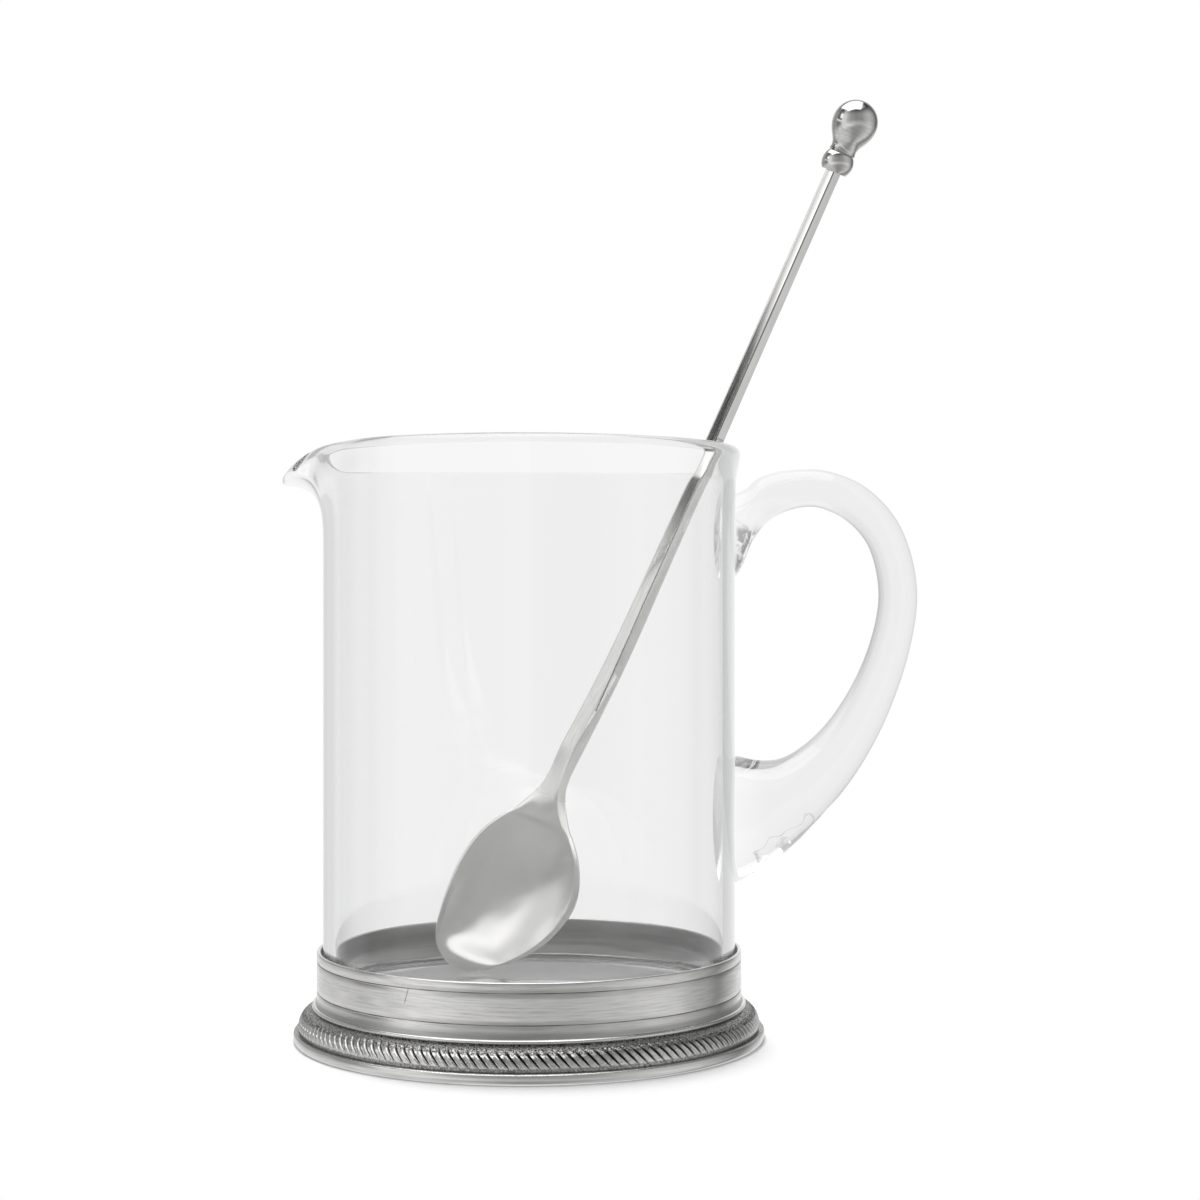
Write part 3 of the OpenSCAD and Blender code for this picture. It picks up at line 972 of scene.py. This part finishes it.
# %% Finish of the foot and the disc
foot_finish, tree = new_material("cast_pewter")
place = object_place(tree)
z = axes_of(tree, place)[2]
grains = noise(tree, place, 2600.0, 3.0, roughness=0.6)
stipple = ramp(tree, grains, [(0.36, 1.0), (0.52, 0.62), (0.64, 0.15)])
light_stipple = ramp(tree, grains, [(0.36, 0.45), (0.46, 0.08), (0.55, 0.0)])
hollow = near(tree, z, 0.0076, 0.0009, 0.0005)
strip = product(tree, near(tree, z, 0.0031, 0.0004, 0.0004), 0.75)
rough_skin = near(tree, z, 0.0054, 0.0022, 0.0006)
patina = node(tree, "Attribute", attribute_name="patina").outputs["Fac"]
dark = largest(
    tree, product(tree, largest(tree, hollow, strip), stipple),
    product(tree, rough_skin, light_stipple), patina,
)
show(tree, pewter(tree, place, (0.75, 0.745, 0.735), 0.20, ROUND, 1800.0, 0.2, dark, 0.7))

dull_finish, tree = new_material("dull_pewter")
show(tree, pewter(tree, object_place(tree), (0.78, 0.775, 0.765), 0.42, (1, 1, 1), 350.0, 0.3))
print("pewter ready")

# %% [markdown]
# ## Band
# The band is a strip of pewter rolled into a ring. Its upper edge is rounded over and two lines
# are turned into it. At the foot it flares a little.

# %% Outline of the band
def rounded(middle, radius, first, last, count):
    turns = [math.radians(mix(first, last, k / count)) for k in range(count + 1)]
    return [(middle[0] + radius * math.cos(a), middle[1] + radius * math.sin(a)) for a in turns]


def line_cut(z, r, depth=0.15, half=0.32):
    dip = r - 0.6 * depth
    return [(r, z - half), (dip, z - half / 3), (r - depth, z), (dip, z + half / 3), (r, z + half)]


FLARE = [(0.4, 0.0), (0.26, 0.6), (0.13, 1.3), (0.04, 2.1)]
BAND_EDGE_R = 0.5
outline = [(BAND_IN_R, FOOT_H)] + [(BAND_R + wider, FOOT_H + higher) for wider, higher in FLARE]
outline += line_cut(LINE_LOW, BAND_R)
outline += [(BAND_R, mix(LINE_LOW, LINE_HIGH, k / 5)) for k in range(1, 5)]
outline += line_cut(LINE_HIGH, BAND_R)
outline += rounded((BAND_IN_R + BAND_EDGE_R, BAND_TOP - BAND_EDGE_R), BAND_EDGE_R, 0, 180, 8)
outline += [(BAND_IN_R, mix(BAND_TOP, FOOT_H, k / 4)) for k in range(1, 4)]
band = turn_on_lathe("pewter_band", outline, 192)
finish_piece(band, "pitcher", "base_band", band_finish, 25)

# %% [markdown]
# ## Foot
# The foot is a cast ring. From the top down it has a small bead, a grainy hollow, a rope
# moulding and a polished lip. Its inside carries the floor disc on a ledge. The plain parts are
# turned first.

# %% Outline of the foot
FOOT_IN_R = GLASS_R - 1.5
SOCKET_R = BAND_IN_R + 0.1
LEDGE_Z = 0.63 * FOOT_H
SMALL_BEAD = 0.65
SMALL_BEAD_R = BAND_R + 0.4 + SMALL_BEAD / 4
ROPE_R = 4.7
ROPE_MID_R = FOOT_R - 5.9
ROPE_MID_Z = 3.7
LIP_UNDER_R = 1.2
LIP_OVER_R = 0.7


def rope_face(z):
    return ROPE_MID_R + math.sqrt(ROPE_R**2 - (z - ROPE_MID_Z) ** 2)


outline = [(FOOT_IN_R, 0.0), (55.0, 0.0), (FOOT_R - LIP_UNDER_R, 0.0)]
outline += rounded((FOOT_R - LIP_UNDER_R, LIP_UNDER_R), LIP_UNDER_R, -75, 0, 5)
outline += rounded((FOOT_R - LIP_OVER_R, 2.0), LIP_OVER_R, 15, 110, 6)
outline += [(rope_face(3.3) - 0.45, 2.8), (rope_face(3.45) - 0.5, 3.4)]
outline += [(rope_face(z) - 0.6, z) for z in (4.2, 5.0, 5.8, 6.6, 7.2)]
outline += [(rope_face(7.5) - 0.35, 7.6), (SMALL_BEAD_R + 0.75, 8.0), (SMALL_BEAD_R + 0.35, 8.22)]
outline += rounded((SMALL_BEAD_R, FOOT_H - SMALL_BEAD), SMALL_BEAD, -50, 90, 8)
outline += [(SOCKET_R, FOOT_H), (SOCKET_R, LEDGE_Z), (FOOT_IN_R, LEDGE_Z)]
foot = turn_on_lathe("pewter_foot", outline, 192)
print("foot outline of", len(outline), "points")

# %% [markdown]
# The rope moulding has 155 slanted flutes. One flute is modelled on a small grid and then copied
# round by the spin tool. Its left and right edges are the same slanted line, so the copies meet.
# How deep a point lies is kept as an attribute, and the finish uses it to darken the grooves.

# %% One flute of the rope, copied round
ROPE_LOW, ROPE_HIGH = 3.42, 7.6
COLUMN_PLACES = [0.0, 0.16, 0.29, 0.39, 0.45, 0.5, 0.55, 0.61, 0.71, 0.84, 1.0]
COLUMNS, ROWS = len(COLUMN_PLACES) - 1, 9
PITCH = 2 * math.pi / FLUTES
GROOVE_DEPTH = 0.5
SLANT = 0.98
DARK_DEPTH = 0.34
FLUTE_MERGE = 0.01 * MM


def groove(u, v):
    half = mix(0.10, 0.21, ease(1.35 * v))
    depth = GROOVE_DEPTH * ease(4.5 * v) * ease(3.2 * (1 - v) + 0.12)
    aside = min(1.0, abs(u - 0.5) / half)
    return depth * (1 - aside**1.6)


def flute_point(u, v):
    z = mix(ROPE_LOW, ROPE_HIGH, v)
    crown = 0.10 * math.sin(math.pi * min(1.0, abs(u - 0.5) * 2)) * math.sin(math.pi * v)
    r = rope_face(z) - groove(u, v) - 0.10 + crown
    a = (u - 0.5) * PITCH - (z - ROPE_MID_Z) / FOOT_R * SLANT
    return (r * math.sin(a), -r * math.cos(a), z)


start_clean()
bpy.ops.mesh.primitive_grid_add(x_subdivisions=COLUMNS, y_subdivisions=ROWS, size=1)
rope = bpy.context.object
rope.name = rope.data.name = "rope_moulding"
stain = []
for vert in rope.data.vertices:
    i = round((vert.co.x + 0.5) * COLUMNS)
    j = round((vert.co.y + 0.5) * ROWS)
    u, v = COLUMN_PLACES[i], j / ROWS
    vert.co = Vector(flute_point(u, v)) * MM
    stain.append(min(1.0, (groove(u, v) / DARK_DEPTH) ** 1.6))
patina = rope.data.attributes.new("patina", "FLOAT", "POINT")
patina.data.foreach_set("value", stain)
bpy.ops.object.mode_set(mode="EDIT")
bpy.ops.mesh.select_all(action="SELECT")
bpy.ops.mesh.spin(
    steps=FLUTES - 1, angle=2 * math.pi * (FLUTES - 1) / FLUTES,
    center=(0, 0, 0), axis=(0, 0, 1), dupli=True,
)
bpy.ops.mesh.select_all(action="SELECT")
bpy.ops.mesh.remove_doubles(threshold=FLUTE_MERGE)
print("rope of", FLUTES, "flutes")

# %% [markdown]
# The copies form an open belt. Its two edges are drawn inwards and joined, which closes the
# rope to a ring that sits in the foot.

# %% Close the rope behind
ROPE_BACK = 4.2
bpy.ops.mesh.select_mode(type="EDGE")
bpy.ops.mesh.select_all(action="DESELECT")
bpy.ops.mesh.select_non_manifold(
    extend=False, use_wire=False, use_multi_face=False, use_non_contiguous=False,
    use_verts=False,
)
inward = (FOOT_R - ROPE_BACK) / FOOT_R
bpy.ops.mesh.extrude_region_move()
bpy.ops.transform.resize(value=(inward, inward, 1), center_override=(0, 0, 0))
bpy.ops.mesh.bridge_edge_loops()
bpy.ops.mesh.select_mode(type="VERT")
bpy.ops.mesh.select_all(action="SELECT")
bpy.ops.mesh.normals_make_consistent(inside=False)
bpy.ops.object.mode_set(mode="OBJECT")
for piece in (foot, rope):
    finish_piece(piece, "pitcher", "foot_ring", foot_finish, 50)

# %% [markdown]
# ## Mixing spoon
# The spoon is cast pewter. Its stem is square and stands on its corner, thins upwards and ends
# in a turned knob. The whole blade is one skin again: its sections change from the hollow of
# the bowl to the square of the stem. It is drawn upright and then leaned in its place. Each row
# of BOWL is one section: its place along the bowl, its width, how deep it is outside and inside,
# how high its ridge is and how far the ridge lies to one side.

# %% Sizes of the spoon
SPOON_LEN = 240.0
BOWL_LEN = 49.5
BOWL_W = 32.4
BOWL_DEPTH = 6.5
BOWL_WALL = 1.2
STEM_TOP_W = 3.7
STEM_NECK_W = 6.2
FINIAL_H = 18.2
COLLAR_D = 7.8
KNOB_D = 11.0
COLLAR_H = 0.69 * COLLAR_D
NECK_Z = 1.08 * BOWL_LEN
STEM_TOP_Z = SPOON_LEN - FINIAL_H + 0.8 * COLLAR_H
SPOON_TURN = (math.radians(11.5), math.radians(23.3), 0.0)
SPOON_AT = (-12.567, 16.0, 14.228)
BOWL = [
    (-0.050, 0.13, 0.00, 0.00, 0.00, 0.00), (-0.028, 0.28, 0.03, 0.00, 0.00, 0.00),
    (0.005, 0.42, 0.08, 0.00, 0.00, 0.00), (0.045, 0.55, 0.19, 0.11, 0.00, 0.00),
    (0.110, 0.69, 0.42, 0.44, 0.00, 0.00), (0.180, 0.80, 0.62, 0.66, 0.00, 0.00),
    (0.270, 0.90, 0.81, 0.86, 0.00, 0.05), (0.370, 0.965, 0.94, 0.99, 0.00, 0.25),
    (0.470, 1.00, 1.00, 1.05, 0.00, 0.55), (0.570, 0.98, 0.98, 1.03, 0.00, 0.80),
    (0.670, 0.90, 0.84, 0.88, 0.06, 0.90), (0.760, 0.77, 0.62, 0.65, 0.30, 0.90),
    (0.840, 0.60, 0.38, 0.40, 0.75, 0.84), (0.910, 0.43, 0.14, 0.15, 1.40, 0.74),
]
STEM = [(0, 0.34), (0.06, 0.04), (0.14, 0), (0.24, 0), (0.38, 0), (0.56, 0), (0.76, 0), (1, 0)]
print("spoon of", SPOON_LEN, "mm,", len(BOWL) + len(STEM), "rows")

# %% [markdown]
# The end of the bowl is set over towards the spout. SET_OVER gives the share, at four stations
# to the length of the bowl, counted from its end. The stem is straight and thins upwards.

# %% Set-over of the bowl and taper of the stem
SET_OVER = [[2.5], [1.0], [0.25], [0.4], [0.75], [0.75], [0.4], [0.13], [0], [0]]
SET_OVER_UNIT = 0.045 * BOWL_LEN


def set_over(z):
    station = max(0.0, min(len(SET_OVER) - 1, 4 * z / BOWL_LEN))
    return -SET_OVER_UNIT * spline(SET_OVER, station)[0]


def stem_half(z):
    u = (STEM_TOP_Z - z) / (STEM_TOP_Z - NECK_Z)
    return mix(STEM_TOP_W, STEM_NECK_W, max(0.0, u) ** 1.8) / 2


print("end of the bowl set over by", round(-set_over(0), 1), "mm")

# %% [markdown]
# One row holds all that a section needs. A section then runs over the front from side to side,
# round one edge, over the back and round the other edge. The ridge is left a little blunt.

# %% Sections of the spoon
STEM_EDGE = 0.08 * STEM_TOP_W
RIDGE_FLAT = 0.08
RIM_INSIDE = 0.923
BOWL_CROWN, STEM_CROWN = 2.2, 1.06
EDGE_R = 0.45
HALF_CUTS = 13
SIDES = [-1 + k / HALF_CUTS for k in range(HALF_CUTS - 1)] + [-RIDGE_FLAT]
SIDES += [-side for side in reversed(SIDES)]
blade = []
for share, width, outside, inside, ridge, apex in BOWL:
    blade.append([
        share * BOWL_LEN, width * BOWL_W / 2, inside * BOWL_DEPTH - BOWL_WALL / 2,
        outside * BOWL_DEPTH + BOWL_WALL / 2, BOWL_WALL, BOWL_CROWN, ridge, apex,
    ])
for share, apex in STEM:
    z = mix(NECK_Z, STEM_TOP_Z, share)
    half = stem_half(z)
    blade.append([
        z, half, -STEM_EDGE / 2, half, STEM_EDGE, STEM_CROWN, half - STEM_EDGE / 2, apex,
    ])


def blade_ring(s):
    z, half, front, back, edge, crown, ridge, apex = spline(blade, s)
    half, crown = max(0.4, half), max(1.0, crown)
    ridge, apex = max(0.0, ridge), max(0.0, min(0.92, apex))
    flat = half - EDGE_R * edge
    rim = [math.radians(a) for a in (-60, -30, 0, 30, 60)]
    x = set_over(z)

    def front_point(side):
        across = apex + side * (1 - apex if side > 0 else 1 + apex)
        dish = 1 - min(1.0, abs(across) / RIM_INSIDE) ** 2.6
        tent = 1 - max(RIDGE_FLAT, abs(side)) ** STEM_CROWN
        return (x + flat * across, mix(-edge / 2, front, dish) - ridge * tent, z)

    def back_point(side):
        round_off = 1 - max(RIDGE_FLAT, abs(side)) ** crown
        return (x - flat * side, mix(edge / 2, back, round_off), z)

    ring = [front_point(side) for side in SIDES]
    ring += [(x + flat + EDGE_R * edge * math.cos(t), edge / 2 * math.sin(t), z) for t in rim]
    ring += [back_point(side) for side in SIDES]
    ring += [(x - flat - EDGE_R * edge * math.cos(t), -edge / 2 * math.sin(t), z) for t in rim]
    return ring


# %% [markdown]
# The blade is wrapped upright, and then turned and moved as one. Applying that puts the object
# back at the origin with its place in its mesh.

# %% Shape the blade and lean it
BOWL_CUTS, STEM_CUTS = 5, 3
NECK_ROW = len(BOWL)
steps = [k / BOWL_CUTS for k in range(NECK_ROW * BOWL_CUTS)]
steps += [NECK_ROW + k / STEM_CUTS for k in range(STEM_CUTS * (len(STEM) - 1) + 1)]
rings = [blade_ring(s) for s in steps]
spoon = wrap_grid("spoon_blade", [centre_ring(rings[0])] + rings + [centre_ring(rings[-1])])


def lean_in_place(piece):
    pick(piece)
    piece.rotation_euler = SPOON_TURN
    piece.location = Vector(SPOON_AT) * MM
    bpy.ops.object.transform_apply(location=True, rotation=True, scale=True)


lean_in_place(spoon)
tip = min(v.co.z for v in spoon.data.vertices)
print("tip of the spoon above the glass floor:", round(tip / MM - FLOOR_Z, 2), "mm")

# %% [markdown]
# The bowl is satin, which softens all that it mirrors, and its skin is paler and less metallic:
# painted light that brightens the bowl. The stem is brushed lengthwise and shines more, with a
# fine dark line along its front ridge, which is painted shade. The pattern leans with the spoon.

# %% Finish of the spoon
RIDGE_FROM_Z = 0.076
shift = tuple(v * MM for v in SPOON_AT)
spoon_finish, tree = new_material("polished_pewter")
place = object_place(tree, SPOON_TURN, shift)
x, y, z = axes_of(tree, place)
# Painted light: the bowl's skin is made pale under this mask.
satin_and_light = run_between(tree, z, 0.050, 0.064, 1.0, 0.0, "LINEAR")
on_front = math_node(tree, "LESS_THAN", y, 0.0)
on_stem = math_node(tree, "GREATER_THAN", z, RIDGE_FROM_Z)
# Painted shade: a fine dark line along the front ridge of the stem.
ridge_shade = product(tree, near(tree, x, 0.00002, 0.00010, 0.00016), on_front, on_stem, 0.6)
show(tree, pewter(
    tree, place, (0.76, 0.755, 0.745), 0.09, (1, 1, 0.05), 2600.0, 0.08, ridge_shade, 0.5, satin_and_light
))
finish_piece(spoon, "spoon", "spoon", spoon_finish, 32)

# %% [markdown]
# ## Knob and collar
# The end of the spoon is turned on the lathe: a ball collar, a waist that flares a little above
# it, and a round knob. Its fine brush marks run round, so it has a finish of its own.

# %% Knob and collar
knob_r = KNOB_D / 2
knob_mid = FINIAL_H - knob_r
waist_r = 0.265 * KNOB_D
outline = [(0.0, 0.0), (1.6, 0.0)]
outline += rounded((0, 0.455 * COLLAR_H), COLLAR_D / 2, -38, 44, 14)
flank = [
    (1.15 * waist_r, 0.93 * COLLAR_H), (0.80 * waist_r, mix(COLLAR_H, knob_mid, 0.30)),
    (knob_r, mix(COLLAR_H, knob_mid, 0.42)), (knob_r, knob_mid),
]
outline += [bezier(flank, k / 20) for k in range(21)]
outline += rounded((0, knob_mid), knob_r, 6, 84, 14)
outline.append((0.0, knob_mid + knob_r))
outline = [(r, z + SPOON_LEN - FINIAL_H) for r, z in outline]
knob = turn_on_lathe("spoon_knob", outline, 64, closed=False)
lean_in_place(knob)
knob_finish, tree = new_material("turned_pewter")
place = object_place(tree, SPOON_TURN, shift)
show(tree, pewter(tree, place, (0.68, 0.675, 0.665), 0.12, (0.12, 0.12, 1), 2000.0, 0.05))
finish_piece(knob, "spoon", "spoon_finial", knob_finish, 40)

# %% [markdown]
# ## Floor disc and bedding
# These two solids already have their shape. They only get a finish. The disc is dull, as cast,
# and the bedding under the glass is clear and soft.

# %% Finishes of the hidden pieces
bedding = bpy.data.materials.new("clear_bedding")
bedding.use_nodes = True
tree = bedding.node_tree
shader = tree.nodes["Principled BSDF"]
spots = noise(tree, node(tree, "TexCoord").outputs["Object"], 160.0, 2.0)
tint = ramp(tree, spots, [(0.3, (0.80, 0.80, 0.79)), (0.7, (0.9, 0.9, 0.89))])
tree.links.new(tint, shader.inputs["Base Color"])
for key, value in (("Roughness", 0.4), ("IOR", 1.41), ("Alpha", 0.18)):
    shader.inputs[key].default_value = value
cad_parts["base_disc"].material_slots[0].material = dull_finish
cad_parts["bedding_pad"].material_slots[0].material = bedding
print("disc and bedding finished")
